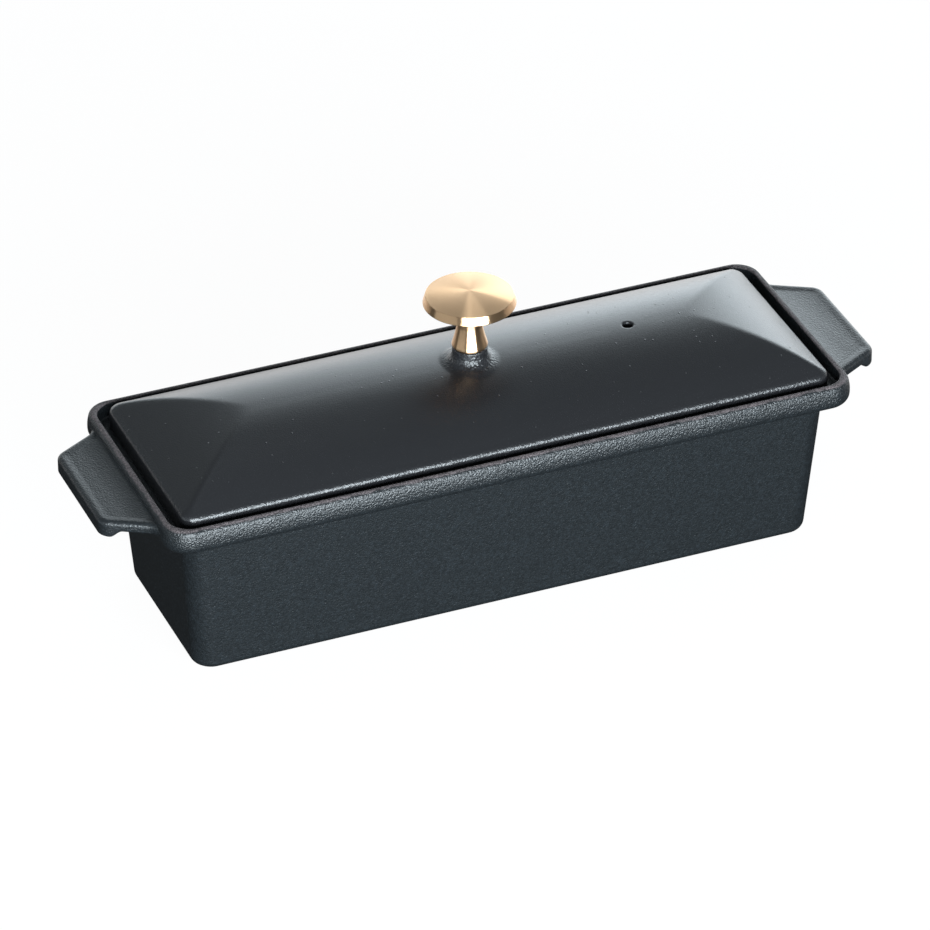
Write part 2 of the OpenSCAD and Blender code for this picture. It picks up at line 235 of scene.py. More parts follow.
# %% The trough's rings
def wall_outline(z, inwards=0.0, corner=WALL_CORNER):
    length, width, _ = inset(WALL_TOP, inwards + (RIM_UNDERSIDE - z) * math.tan(DRAFT))
    return (length, width, corner)


def cavity_outline(z):
    return wall_outline(z, WALL / math.cos(DRAFT), CAVITY_CORNER)


def leaning_edge(radius, steps=8):
    """An edge between level ground and a wall that leans, from the wall down."""
    centre = radius * (1 / math.cos(DRAFT) - math.tan(DRAFT))
    return arc((centre, radius), radius, 180 + math.degrees(DRAFT), 270, steps)


def rim_section():
    """The rim's outside as (inset, height): a rounding below, a face that bows and leans back
    above, and a tighter rounding over the top, each tangent to the next."""
    a, b = math.radians(FACE_ABOVE), math.radians(FACE_BELOW)
    flat = RIM_BAND - RIM_TOP_RADIUS - RIM_BOTTOM_RADIUS
    bow = flat + RIM_TOP_RADIUS * math.sin(a) + RIM_BOTTOM_RADIUS * math.sin(b)
    radius = bow / (math.sin(a) + math.sin(b))
    middle = RIM_TOP - RIM_TOP_RADIUS - (radius - RIM_TOP_RADIUS) * math.sin(a)
    low = (radius - (radius - RIM_BOTTOM_RADIUS) * math.cos(b), RIM_UNDERSIDE + RIM_BOTTOM_RADIUS)
    high = (radius - (radius - RIM_TOP_RADIUS) * math.cos(a), RIM_TOP - RIM_TOP_RADIUS)
    under = arc(low, RIM_BOTTOM_RADIUS, 270, 180 + FACE_BELOW, 9)
    face = arc((radius, middle), radius, 180 + FACE_BELOW, 180 - FACE_ABOVE, 6)
    over = arc(high, RIM_TOP_RADIUS, 180 - FACE_ABOVE, 90, 8)
    return under + face[1:-1] + over


def trough_rings():
    cove_foot = wall_outline(RIM_UNDERSIDE - RIM_COVE)
    mouth = cavity_outline(LEDGE)
    floor = cavity_outline(FLOOR)
    cove = arc((-RIM_COVE, RIM_UNDERSIDE - RIM_COVE), RIM_COVE, 0, 90, 5)
    lip = arc((-OPENING_RADIUS, RIM_TOP - OPENING_RADIUS), OPENING_RADIUS, 90, 0, 4)
    step = arc((-MOUTH_RADIUS, LEDGE - MOUTH_RADIUS), MOUTH_RADIUS, 90, 0, 4)
    rings = [ring(inset(wall_outline(0), d), z) for d, z in reversed(leaning_edge(BASE_FILLET))]
    rings += [ring(inset(cove_foot, d), z) for d, z in cove]
    rings += [ring(inset(RIM, d), z) for d, z in rim_section()]
    rings += [ring(inset(OPENING, d), z) for d, z in lip]
    rings += [ring(OPENING, LEDGE + LEDGE_CHAMFER), ring(inset(OPENING, LEDGE_CHAMFER), LEDGE)]
    rings += [ring(inset(mouth, d), z) for d, z in step]
    rings += [ring(inset(floor, d), FLOOR + z) for d, z in leaning_edge(FLOOR_FILLET)]
    return rings


dish = mesh_object("cast_dish", *skin(trough_rings()))
clean(dish)

# %% [markdown]
# Each lug handle is a thin plate with a low bead along its border, and a lip that turns down
# along the tip to hook the fingers behind. A bevelled block has neither. The bead and the lip
# are one section swept along the plate's outline, and the section changes on the way round the
# corner, so the lip fades out along the sides as it does on the real one.

# %% Sizes of the handles
HANDLE_REACH = 20.0
HANDLE_ROOT = 76.0
HANDLE_TIP = 53.4
HANDLE_CORNER = 6.4
LEAST_CORNER = 0.4
HANDLE_FLARE = 6.8
HANDLE_TOP = 73.4
BEAD_RADIUS = 2.0
BEAD_FOOT = 5.2
FACE_DEPTH = 0.35
PLATE_THICKNESS = 3.45
SIDE_HEIGHT = 4.6
SIDE_COVE_SHARE = 0.4
LIP_HEIGHT = 7.5
LIP_EDGE = 1.2
LIP_BACK_EDGE = 1.2
LIP_FADE = 5.2
LIP_THICKNESS = 4.3
LIP_COVE = 2.6
SUNK = 0.35
CORNER_STEPS = 12
FLARE_STEPS = 10
FADE_STEPS = 8

FACE_Z = HANDLE_TOP - FACE_DEPTH
PLATE_Z = FACE_Z - PLATE_THICKNESS
RIM_FACE = RIM[0] / 2
TIP_X = RIM_FACE + HANDLE_REACH
BURIED_X = RIM_FACE - RIM_LAND / 2
SIDE_LEAN = math.atan2((HANDLE_ROOT - HANDLE_TIP) / 2, HANDLE_REACH)
SIDE_NORMAL = (math.sin(SIDE_LEAN), math.cos(SIDE_LEAN))
SIDE_DISTANCE = SIDE_NORMAL[0] * TIP_X + SIDE_NORMAL[1] * HANDLE_TIP / 2
FLARE_X = RIM_FACE - SUNK + HANDLE_FLARE
FLARE_Y = (SIDE_DISTANCE + HANDLE_FLARE - SIDE_NORMAL[0] * FLARE_X) / SIDE_NORMAL[1]
print("handle from", BURIED_X, "to", TIP_X, "plate from", round(PLATE_Z, 2), "to", round(FACE_Z, 2))


# %% The handle's outline and section
def half_outline(d):
    """Half of the handle's outline moved inwards by d, from inside the rim to the tip."""
    lean = math.degrees(SIDE_LEAN)
    keep = max(HANDLE_CORNER, d + LEAST_CORNER)
    x = TIP_X - keep
    corner = (x, (SIDE_DISTANCE - keep - SIDE_NORMAL[0] * x) / SIDE_NORMAL[1])
    start = math.degrees(math.acos(min(1, (FLARE_X - BURIED_X - SUNK) / (HANDLE_FLARE + d))))
    flare = arc((FLARE_X, FLARE_Y), HANDLE_FLARE + d, 180 + start, 270 - lean, FLARE_STEPS)
    turn = arc(corner, keep - d, 90 - lean, 0, CORNER_STEPS)
    side = [
        (turn[0][0] - SIDE_NORMAL[1] * LIP_FADE * i / FADE_STEPS,
         turn[0][1] + SIDE_NORMAL[0] * LIP_FADE * i / FADE_STEPS)
        for i in range(FADE_STEPS, 0, -1)
    ]
    return [(BURIED_X, flare[0][1])] + flare + side + turn


def edge_section(drop, cove):
    """The section of the handle's edge as (inset, height), from inside the plate over the bead,
    down the outside, round the lip and its cove, and back into the plate."""
    bottom = HANDLE_TOP - drop
    inner = min(cove, LIP_BACK_EDGE)
    # A smooth rise to the bead, which stops just short of the arc that goes on from it
    rise = [(t, t * t * (3 - 2 * t)) for t in np.linspace(0, 0.95, 9)]
    return (
        [(BEAD_FOOT + SUNK, FACE_Z - SUNK)]
        + [(BEAD_FOOT + (BEAD_RADIUS - BEAD_FOOT) * t, FACE_Z + FACE_DEPTH * s) for t, s in rise]
        + arc((BEAD_RADIUS, HANDLE_TOP - BEAD_RADIUS), BEAD_RADIUS, 90, 180, 10)
        + arc((LIP_EDGE, bottom + LIP_EDGE), LIP_EDGE, 180, 270, 8)
        + arc((LIP_THICKNESS - inner, bottom + inner), inner, -90, 0, 5)
        + arc((LIP_THICKNESS + cove, PLATE_Z - cove), cove, 180, 90, 6)
        + [(LIP_THICKNESS + cove + SUNK, PLATE_Z + SUNK)]
    )


# %% The handle's edge and plate as rings
def edge_rings(side_sign):
    """The edge's sections from the near root round the tip to the far root, on one end."""
    side = edge_section(SIDE_HEIGHT, (PLATE_Z - HANDLE_TOP + SIDE_HEIGHT) * SIDE_COVE_SHARE)
    lip = edge_section(LIP_HEIGHT, LIP_COVE)
    fade = [0.5 - 0.5 * math.cos(math.pi * i / FADE_STEPS) for i in range(FADE_STEPS)]
    turned = [0.0] * (FLARE_STEPS + 2) + fade + [1.0] * (CORNER_STEPS + 1)
    half = []
    for k, turn_down in enumerate(turned):
        station = []
        for a, b in zip(side, lip):
            d = a[0] + (b[0] - a[0]) * turn_down
            z = a[1] + (b[1] - a[1]) * turn_down
            x, y = half_outline(d)[k]
            station.append((side_sign * x, y, z))
        half.append(station)
    near = [[(x, -y, z) for x, y, z in station] for station in half]
    return near + half[::-1]


def plate_rings(side_sign):
    half = half_outline(BEAD_RADIUS + SUNK)
    outline = [(x, -y) for x, y in half] + half[::-1]
    return [[(side_sign * x, y, z) for x, y in outline] for z in (PLATE_Z, FACE_Z)]


# %% [markdown]
# Where a handle leaves the rim, the mould is rounded so that the iron doesn't crack as it
# cools. This small hollow blend is a piece of its own, swept along the root: it starts and ends
# as almost nothing, so that it fades out at both sides.

# %% The blend at the handle's root
ROOT_COVE = 1.6
ROOT_FADE = 0.2
ROOT_FADE_STEPS = 6
ROOT_LEAST = 0.1
ROOT_DEPTH = 0.8


def root_rings(side_sign):
    reach = HANDLE_ROOT / 2
    full = 1 - ROOT_FADE
    places = np.concatenate([
        np.linspace(-1, -full, ROOT_FADE_STEPS + 1),
        np.linspace(full, 1, ROOT_FADE_STEPS + 1),
    ])
    base = FACE_Z - ROOT_DEPTH
    rings = []
    for place in places:
        fade = min(1.0, (1 - abs(place)) / ROOT_FADE)
        r = ROOT_COVE * (ROOT_LEAST + (1 - ROOT_LEAST) * (fade * fade * (3 - 2 * fade)))
        hollow = arc((RIM_FACE + r - SUNK / 2, FACE_Z + r - SUNK / 2), r, 180, 270, 8)
        profile = [(BURIED_X, hollow[0][1]), (BURIED_X, base), (hollow[-1][0], base)]
        profile += hollow[::-1]
        rings.append([(side_sign * x, place * reach, z) for x, z in profile])
    return rings


# %% [markdown]
# The trough and its handles are poured together, so they are one mesh. Pieces that only
# overlap would leave hidden faces inside the iron. An exact union cuts them away, and every
# part reaches a little into its neighbour, so that no two faces lie on each other.

# %% Join the trough and the handles into one casting
def union(base, others):
    """Joins closed pieces into base and deletes them."""
    for other in others:
        clean(other)
        join = base.modifiers.new(other.name, "BOOLEAN")
        join.operation = "UNION"
        join.solver = "EXACT"
        join.object = other
        apply_modifiers(base)
        bpy.data.objects.remove(other)


parts = []
for end in (1, -1):
    for label, make in (("plate", plate_rings), ("edge", edge_rings), ("root", root_rings)):
        parts.append(mesh_object(f"handle_{label}_{end}", *skin(make(end))))
union(dish, parts)
clean(dish, merge=0.01)
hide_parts("dish")
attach(dish, "root")

# %% [markdown]
# The lid's crown is a barrel vault on all four sides, so its section is the same arc whether
# it is cut across or at an end, and the four vaults meet along hips at 45 degrees. A sculpted
# or subdivided top would waver in the long reflections. Here its height is a formula over the
# plan, so every point lies exactly on it. Below, the lid is hollow, with a rib that centres it
# in the trough's mouth.

# %% Sizes of the lid
LID_GAP_END = 4.9
LID_GAP_SIDE = 3.7
LID_CORNER = 6.0
RIDGE = 93.2
CROWN_RADIUS = 79.0
LID_EDGE_RADIUS = 3.0
LID_FOOT_RADIUS = 0.8
HIP_RADIUS = 2.0
LID_WALL = 5.0
RIB_DEPTH = 3.0
RIB_THICKNESS = 3.6
RIB_CLEARANCE = 1.2
RIB_ROUND = 0.8
HOLLOW_STEP = 1.0
SEAT = 100.0
BOSS_TOP_RADIUS = 7.3
BOSS_EDGE = 0.8
BOSS_FILLET = 4.4
BOSS_FOOT = RIDGE - 0.1
BLEND = 0.5
PAST_FLARE_FALL = 3.0
VENT_X = 70.0
VENT_RADIUS = 2.1
VENT_EDGE = 0.8
SCREW_HOLE = 3.3
PAD_RADIUS = 9.0
PAD_Z = RIDGE - LID_WALL - 0.8

LID = (OPENING[0] - 2 * LID_GAP_END, OPENING[1] - 2 * LID_GAP_SIDE, LID_CORNER)
LID_HALF = LID[1] / 2
CROWN_Z = RIDGE - CROWN_RADIUS
HIP_START = (LID[0] - LID[1]) / 2
print("lid", [round(v, 2) for v in LID], "ridge", RIDGE, "knob stands at", SEAT)


# %% The crown's formula
def from_middle(x, y):
    """Distance of a point from the lid's middle line, across the nearest vault, with the corner
    between two vaults rounded as the outline is: wide at the edge and tight above."""
    a, b = abs(x) - HIP_START, abs(y)
    m = max(a, b)
    # The rounding depends on the distance itself, and three rounds settle it
    for _ in range(3):
        r = max(LID_CORNER - (LID_HALF - m), HIP_RADIUS)
        if abs(a - b) < r:
            m = r + (a + b - math.sqrt(2 * r * r - (a - b) ** 2)) / 2
    return m


def crown_height(x, y, depth=0.0):
    m = max(from_middle(x, y), 0)
    return CROWN_Z + math.sqrt((CROWN_RADIUS - depth) ** 2 - m * m)


def hollow_height(x, y):
    """The underside of the crown."""
    return crown_height(x, y, LID_WALL)


def flare_height(r):
    """The boss's flare at radius r from its axis, which falls away below the crown past it."""
    out = BOSS_TOP_RADIUS + BOSS_FILLET - r
    if out <= 0:
        return BOSS_FOOT - PAST_FLARE_FALL * (-out) / BOSS_FILLET
    return BOSS_FOOT + BOSS_FILLET - math.sqrt(max(BOSS_FILLET ** 2 - out ** 2, 0))


def lid_height(x, y):
    """The crown and the flare, blended where they meet."""
    crown, flare = crown_height(x, y), flare_height(math.hypot(x, y))
    mix = max(BLEND - abs(crown - flare), 0) / BLEND
    return max(crown, flare) + mix * mix * BLEND / 4


# %% [markdown]
# A surface over a plan with round holes in it has no tidy grid. It is cut into triangles by
# the Delaunay method, which keeps the given edges and avoids slivers, and each point is lifted
# on the formula afterwards. The free points are dense where the boss flares and along the hips,
# and wide on the plain vault.

# %% A sheet of triangles between an outline and its holes
JUST_INSIDE = 0.999
CDT_EPSILON = 1e-7


def circle(centre, radius, count):
    turns = [2 * math.pi * i / count for i in range(count)]
    return [(centre[0] + radius * math.cos(t), centre[1] + radius * math.sin(t)) for t in turns]


def middle_of(points):
    return [sum(p[axis] for p in points) / len(points) for axis in (0, 1)]


def sheet(outline, holes, inside, height):
    """Triangulates the plan between closed loops, with free points inside, and lifts it."""
    points, edges = [], []
    for loop in [outline] + holes:
        first = len(points)
        points += loop
        edges += [(first + i, first + (i + 1) % len(loop)) for i in range(len(loop))]
    points += inside
    found, _, triangles, *_ = delaunay_2d_cdt(
        [tuple(p) for p in points], edges, [tuple(range(len(outline)))], 1, CDT_EPSILON
    )
    rounds = [(middle_of(loop), math.dist(loop[0], middle_of(loop)) * JUST_INSIDE) for loop in holes]
    kept = []
    for t in triangles:
        centre = middle_of([found[i] for i in t])
        if all(math.dist(centre, middle) >= radius for middle, radius in rounds):
            kept.append(tuple(t))
    return [(p[0], p[1], height(p[0], p[1])) for p in found], kept


# %% Free points for the lid's sheet
LID_STEPS = 14
LID_RUNS = (96, 28)
BOSS_STEPS = 56
VENT_STEPS = 40
BOSS_FAN = (7.9, 16.5, 16)
VENT_FAN = (3.4, 6.5, 5)
FAN_MARGIN = 0.8
FIRST_ROW = 1.2
LAST_ROW = 0.8
ROW_SPACE = 1.5
LEAST_SPACE = 0.6


def lid_ring(outline, z):
    return ring(outline, z, LID_STEPS, LID_RUNS)


def lid_outline(d):
    return inset(LID, d, HIP_RADIUS)


def fan(centre, radii):
    """Rings of points round a hole, each turned by half a step against the one before."""
    points = []
    for i, r in enumerate(radii):
        shift = math.pi / BOSS_STEPS * (i % 2)
        for k in range(BOSS_STEPS):
            t = 2 * math.pi * k / BOSS_STEPS + shift
            points.append((centre[0] + r * math.cos(t), centre[1] + r * math.sin(t)))
    return points


def plan_points(first_inset):
    """Fans round the boss and the vent, and rows that follow the outline and the hips."""
    fans = fan((0, 0), np.linspace(*BOSS_FAN)) + fan((VENT_X, 0), np.linspace(*VENT_FAN))
    kept, taken = [], set()
    for d in np.arange(first_inset + FIRST_ROW, LID_HALF - LAST_ROW, ROW_SPACE):
        for x, y, _ in lid_ring(lid_outline(d), 0):
            by_boss = math.hypot(x, y) <= BOSS_FAN[1] + FAN_MARGIN
            by_vent = math.hypot(x - VENT_X, y) <= VENT_FAN[1] + FAN_MARGIN
            key = (round(x / LEAST_SPACE), round(y / LEAST_SPACE))
            if not by_boss and not by_vent and key not in taken:
                taken.add(key)
                kept.append((x, y))
    return fans + kept


# %% [markdown]
# The lid closes as one skin. Loops run from the hollow down the rib, out over the seat and up
# the side to the crown. The crown's sheet has two holes: the boss rises from one, with the
# screw's hole down its middle, and the rounded vent sinks through the other. A second sheet
# closes the hollow. All the loops meet point for point, so no union is needed.

# %% The lid's loops
NECK_MARGIN = 0.25
NECK_ANGLES = (14, 9, 4, 0)
VENT_ANGLES = (0, 25, 50, 75, 90)


def lifted(loop, height, by=0.0):
    """A loop of the plan on a surface, or above it."""
    return [(p[0], p[1], height(p[0], p[1]) + by) for p in loop]


def crown_edge():
    """The rounding between the lid's side and its crown, as (inset, height)."""
    r = LID_EDGE_RADIUS
    z = CROWN_Z + math.sqrt((CROWN_RADIUS - r) ** 2 - (LID_HALF - r) ** 2)
    meet = math.degrees(math.atan2(z - CROWN_Z, r - LID_HALF))
    return arc((r, z), r, 180, meet, 8)


def side_loops():
    """From the hollow down the rib, out over the seat, and up the side to the crown."""
    rib = inset(cavity_outline(LEDGE), RIB_CLEARANCE)
    rib_inside = inset(rib, RIB_THICKNESS)
    foot = LEDGE - RIB_DEPTH
    edge = crown_edge()
    inner = arc((-RIB_ROUND, foot + RIB_ROUND), RIB_ROUND, 0, -90, 4)
    outer = arc((RIB_ROUND, foot + RIB_ROUND), RIB_ROUND, 270, 180, 4)
    lower = arc((LID_FOOT_RADIUS, LEDGE + LID_FOOT_RADIUS), LID_FOOT_RADIUS, 270, 180, 4)
    hollow = lid_outline(LID_HALF - rib_inside[1] / 2 + HOLLOW_STEP)
    loops = [lifted(lid_ring(hollow, 0), hollow_height), lid_ring(rib_inside, LEDGE + LID_WALL)]
    loops += [lid_ring(inset(rib_inside, d), z) for d, z in inner]
    loops += [lid_ring(inset(rib, d), z) for d, z in outer]
    loops.append(lid_ring(rib, LEDGE))
    loops += [lid_ring(inset(LID, d), z) for d, z in lower]
    loops += [lid_ring(lid_outline(d), z) for d, z in edge[:-1]]
    loops.append(lifted(lid_ring(lid_outline(edge[-1][0]), 0), crown_height))
    return loops


def boss_loops():
    """From the sheet up the boss, over its seat, and down the screw's hole to the hollow."""
    stack = [
        (BOSS_TOP_RADIUS + BOSS_FILLET * (1 - math.cos(t)), BOSS_FOOT + BOSS_FILLET * (1 - math.sin(t)))
        for t in np.radians(NECK_ANGLES)
    ]
    stack += arc((BOSS_TOP_RADIUS - BOSS_EDGE, SEAT - BOSS_EDGE), BOSS_EDGE, 0, 90, 5)
    stack += [(SCREW_HOLE, SEAT), (SCREW_HOLE, PAD_Z), (PAD_RADIUS, PAD_Z)]
    neck = circle((0, 0), BOSS_TOP_RADIUS + NECK_MARGIN, BOSS_STEPS)
    pad = circle((0, 0), PAD_RADIUS, BOSS_STEPS)
    loops = [[(x, y, z) for x, y in circle((0, 0), r, BOSS_STEPS)] for r, z in stack]
    return [lifted(neck, lid_height)] + loops + [lifted(pad, hollow_height)]


def vent_loops():
    """From the sheet over the vent's rounded edge, and down to the hollow."""
    loops = []
    for t in np.radians(VENT_ANGLES):
        r = VENT_RADIUS + VENT_EDGE * (1 - math.sin(t))
        down = -VENT_EDGE * (1 - math.cos(t))
        loops.append(lifted(circle((VENT_X, 0), r, VENT_STEPS), crown_height, down))
    loops.append(lifted(circle((VENT_X, 0), VENT_RADIUS, VENT_STEPS), hollow_height))
    return loops


# %% The lid's mesh
HOLLOW_X = (-126, 127, 6.0)
HOLLOW_Y = (-30, 31, 5.0)
PAD_CLEAR = 11.0
VENT_CLEAR = 5.0


def add_strips(points, faces, loops):
    """Adds the bands between loops with equal counts to lists of points and faces."""
    for lower, upper in zip(loops, loops[1:]):
        first = len(points)
        n = len(lower)
        points += lower + upper
        faces += [
            (first + k, first + (k + 1) % n, first + n + (k + 1) % n, first + n + k)
            for k in range(n)
        ]


def add_sheet(points, faces, outline, holes, inside, height):
    """Adds a sheet between loops, whose heights it leaves out, to lists of points and faces."""
    flat = [[(p[0], p[1]) for p in loop] for loop in [outline] + holes]
    more_points, more_faces = sheet(flat[0], flat[1:], inside, height)
    faces += [tuple(i + len(points) for i in f) for f in more_faces]
    points += more_points


def lid_mesh():
    points, faces = [], []
    side, boss, vent = side_loops(), boss_loops(), vent_loops()
    grid = [
        (x, y) for x in np.arange(*HOLLOW_X) for y in np.arange(*HOLLOW_Y)
        if math.hypot(x, y) > PAD_CLEAR and math.hypot(x - VENT_X, y) > VENT_CLEAR
    ]
    add_strips(points, faces, side)
    first_inset = crown_edge()[-1][0]
    add_sheet(points, faces, side[-1], [boss[0], vent[0]], plan_points(first_inset), lid_height)
    add_strips(points, faces, boss)
    add_strips(points, faces, vent)
    add_sheet(points, faces, side[0], [boss[-1], vent[-1]], grid, hollow_height)
    return points, faces


lid = mesh_object("cast_lid", *lid_mesh())
clean(lid, merge=0.01, sharp=50.0)
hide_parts("lid")
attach(lid, "root")

# %% [markdown]
# The knob is turned from a brass bar: a foot, a stem that narrows to a waist, and a broad head
# whose top is a shallow dome. Stacked cylinders would show a seam at each change. A lathe makes
# it from one profile spun round the axis, and so it is made here. A blind hole in its foot
# takes the screw.

# %% The knob's profile
KNOB_HEIGHT = 26.2
HEAD_RADIUS = 19.05
FACE_RADIUS = 18.0
HEAD_EDGE = 3.3
HEAD_DOME = 2.2
UNDER_IN = 1.6
UNDER_DROP = 0.62
WAIST_RADIUS = 5.2
WAIST_HEIGHT = 10.0
FOOT_RADIUS = 7.4
FOOT_ROUND = 1.1
TAPER_BOW = 0.15
EDGE_ROUND = 0.3
NECK_FILLET = 3.0
NECK_DROP = 1.0
TAPPING_RADIUS = 3.02
BORE_DEPTH = 13.5
DRILL_POINT = 1.8


def held(profile, near=0.04, long_step=1.2):
    """Adds a point close to both ends of every long step, so each edge stays crisp when shaded."""
    points = [profile[0]]
    for a, b in zip(profile, profile[1:]):
        length = math.dist(a, b)
        if length > long_step:
            for t in (near / length, 1 - near / length):
                points.append((a[0] + (b[0] - a[0]) * t, a[1] + (b[1] - a[1]) * t))
        points.append(b)
    return points


def knob_profile():
    """(radius, height) from the hole's bottom, round the outside, to the middle of the face."""
    top = SEAT + KNOB_HEIGHT - HEAD_DOME
    bottom = top - HEAD_EDGE
    dome = (FACE_RADIUS ** 2 + HEAD_DOME ** 2) / (2 * HEAD_DOME)
    face = math.degrees(math.asin(FACE_RADIUS / dome))
    hole_end = SEAT + BORE_DEPTH
    profile = [(0, hole_end + DRILL_POINT), (TAPPING_RADIUS, hole_end), (TAPPING_RADIUS, SEAT)]
    profile += arc((FOOT_RADIUS - FOOT_ROUND, SEAT + FOOT_ROUND), FOOT_ROUND, 270, 360, 8)
    profile += [
        (FOOT_RADIUS + (WAIST_RADIUS - FOOT_RADIUS) * t - TAPER_BOW * math.sin(math.pi * t),
         SEAT + FOOT_ROUND + (WAIST_HEIGHT - FOOT_ROUND) * t)
        for t in np.linspace(0, 1, 13)[1:]
    ]
    neck = (WAIST_RADIUS + NECK_FILLET, bottom - NECK_DROP - NECK_FILLET)
    profile += arc(neck, NECK_FILLET, 180, 90, 8)
    # The head's side leans between two small roundings, whose centres are low and high
    lean = math.degrees(math.atan2(HEAD_RADIUS - FACE_RADIUS, HEAD_EDGE))
    low = (HEAD_RADIUS - EDGE_ROUND, bottom)
    high = (FACE_RADIUS - EDGE_ROUND * 0.6, top - EDGE_ROUND * 0.7)
    profile += [(HEAD_RADIUS - UNDER_IN, bottom - UNDER_DROP), (low[0] - 0.1, bottom - EDGE_ROUND - 0.02)]
    profile += arc(low, EDGE_ROUND, -80, lean, 8)
    profile += arc(high, EDGE_ROUND, lean, 90 - face, 6)
    profile += arc((0, SEAT + KNOB_HEIGHT - dome), dome, 90 - face + 0.6, 90, 24)
    return held(profile)


print("knob profile", len(knob_profile()), "points")

# %% [markdown]
# The lathe is a node tree. A grid has one row for each point of the profile and one column for
# each step of the turn. Each point of the grid takes its row's radius and height from the
# profile, and is turned round the axis by its column's angle. One small function adds a node
# with its settings, its values and its links, whatever the kind of tree.

# %% The lathe as a node tree
def add(tree, kind, settings=None, inputs=None, links=None):
    """Adds a node, sets its properties and input values, and links inputs to other sockets."""
    node = tree.nodes.new(kind)
    for key, value in (settings or {}).items():
        setattr(node, key, value)
    for key, value in (inputs or {}).items():
        node.inputs[key].default_value = value
    for key, socket in (links or {}).items():
        tree.links.new(socket, node.inputs[key])
    return node


def lathe_tree():
    tree = bpy.data.node_groups.new("lathe", "GeometryNodeTree")
    sockets = tree.interface
    sockets.new_socket("Profile", in_out="INPUT", socket_type="NodeSocketGeometry")
    steps = sockets.new_socket("Steps", in_out="INPUT", socket_type="NodeSocketInt")
    steps.default_value = 64
    sockets.new_socket("Material", in_out="INPUT", socket_type="NodeSocketMaterial")
    sockets.new_socket("Piece", in_out="OUTPUT", socket_type="NodeSocketGeometry")
    given = add(tree, "NodeGroupInput")
    size = add(tree, "GeometryNodeAttributeDomainSize", links={"Geometry": given.outputs["Profile"]})
    columns = add(tree, "ShaderNodeMath", {"operation": "ADD"}, {1: 1}, {0: given.outputs["Steps"]})
    grid = add(tree, "GeometryNodeMeshGrid",
               links={"Vertices X": size.outputs["Point Count"], "Vertices Y": columns.outputs[0]})
    index = add(tree, "GeometryNodeInputIndex")
    ratio = add(tree, "ShaderNodeMath", {"operation": "DIVIDE"},
                links={0: index.outputs[0], 1: columns.outputs[0]})
    row = add(tree, "ShaderNodeMath", {"operation": "FLOOR"}, links={0: ratio.outputs[0]})
    column = add(tree, "ShaderNodeMath", {"operation": "MODULO"},
                 links={0: index.outputs[0], 1: columns.outputs[0]})
    step_angle = add(tree, "ShaderNodeMath", {"operation": "DIVIDE"}, {0: 2 * math.pi},
                     {1: given.outputs["Steps"]})
    angle = add(tree, "ShaderNodeMath", {"operation": "MULTIPLY"},
                links={0: column.outputs[0], 1: step_angle.outputs[0]})
    position = add(tree, "GeometryNodeInputPosition")
    taken = add(tree, "GeometryNodeSampleIndex", {"data_type": "FLOAT_VECTOR"},
                links={"Geometry": given.outputs["Profile"], "Value": position.outputs[0],
                       "Index": row.outputs[0]})
    turned = add(tree, "ShaderNodeVectorRotate", {"rotation_type": "Z_AXIS"},
                 links={"Vector": taken.outputs[0], "Angle": angle.outputs[0]})
    placed = add(tree, "GeometryNodeSetPosition",
                 links={"Geometry": grid.outputs["Mesh"], "Position": turned.outputs[0]})
    closed = add(tree, "GeometryNodeMergeByDistance", inputs={"Distance": 1e-6},
                 links={"Geometry": placed.outputs[0]})
    real = add(tree, "GeometryNodeRealizeInstances", links={"Geometry": closed.outputs[0]})
    coated = add(tree, "GeometryNodeSetMaterial",
                 links={"Geometry": real.outputs[0], "Material": given.outputs["Material"]})
    result = add(tree, "NodeGroupOutput")
    tree.links.new(coated.outputs[0], result.inputs["Piece"])
    return tree


# %% [markdown]
# The lathe works as a modifier on an object that holds nothing but the profile's points. Its
# inputs are set by each socket's identifier, and its result is then kept as a plain mesh.

# %% Spin the knob
LATHE_STEPS = 160


def lathe(name, profile, steps, tree):
    """Spins a profile of (radius, height) that starts and ends on the axis."""
    piece = mesh_object(name, [(r, 0, z) for r, z in profile], [])
    spin = piece.modifiers.new("lathe", "NODES")
    spin.node_group = tree
    names = {s.name: s.identifier for s in tree.interface.items_tree if s.in_out == "INPUT"}
    spin[names["Steps"]] = steps
    apply_modifiers(piece)
    clean(piece, merge=0.0005, sharp=40.0)
    return piece


knob = lathe("turned_knob", knob_profile(), LATHE_STEPS, lathe_tree())
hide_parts("knob")
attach(knob, "root")

# %% [markdown]
# Every material starts from hex colours as an eye sees them, which one function turns to the
# linear values that a shader works with. A pattern's scale says how many of it fit in a metre,
# so it is worked out from how many lie side by side in a millimetre of the real surface.

# %% Helpers for materials
def linear(hex_colour):
    """An sRGB hex colour as linear red, green, blue and alpha."""
    channels = [int(hex_colour[i:i + 2], 16) / 255 for i in (1, 3, 5)]
    return [c / 12.92 if c <= 0.04045 else ((c + 0.055) / 1.055) ** 2.4 for c in channels] + [1.0]


def per_mm(count):
    """A pattern's scale from its count in a millimetre: 0.5 makes it 2 mm wide."""
    return 1000.0 * count


def new_material(name):
    material = bpy.data.materials.new(name)
    material.use_nodes = True
    return material, material.node_tree


def ramp(tree, fac, stops):
    """A colour ramp through (position, hex colour) stops."""
    node = add(tree, "ShaderNodeValToRGB", links={"Fac": fac})
    while len(node.color_ramp.elements) < len(stops):
        node.color_ramp.elements.new(0.5)
    for element, (position, colour) in zip(node.color_ramp.elements, stops):
        element.position = position
        element.color = linear(colour)
    return node


print("enamel black is", [round(c, 4) for c in linear("#131618")])

# %% [markdown]
# The trough is sand-cast iron under a matt black enamel. The sand's grain shows through as
# fine bumps, which break every highlight into sparkling specks. Along the top of the rim the
# enamel is thin and wiped, and a brown-grey shows. A photograph of iron could be wrapped round
# it, but noise on the object's own coordinates has no seams, and bump is enough for grains that
# stand up by only a few hundredths of a millimetre.

